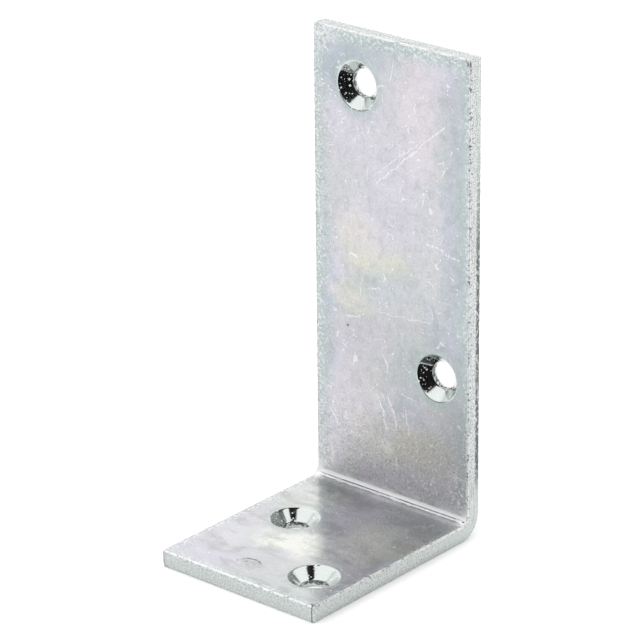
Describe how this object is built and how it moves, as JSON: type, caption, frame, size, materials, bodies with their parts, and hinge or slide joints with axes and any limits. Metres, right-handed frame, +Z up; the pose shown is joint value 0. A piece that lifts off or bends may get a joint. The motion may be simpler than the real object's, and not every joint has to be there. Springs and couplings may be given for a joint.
{
  "type": "corner brace bracket",
  "caption": "Bent flat-steel corner brace with a long and a short leg, each with staggered countersunk screw holes on its inside face.",
  "frame": {"origin": "centre of the footprint on the underside of the short leg", "axes": "+Z up the long leg, X across the width of the bar, +Y from the short leg's free end towards the long leg's back"},
  "size_m": [0.0396, 0.0506, 0.1],
  "materials": {
    "zinc_plated_steel": "bright zinc plate with a pale blue passivate, semi-gloss, lightly scuffed"
  },
  "bodies": {
    "root": {"corner_brace": "zinc_plated_steel"}
  },
  "joints": []
}
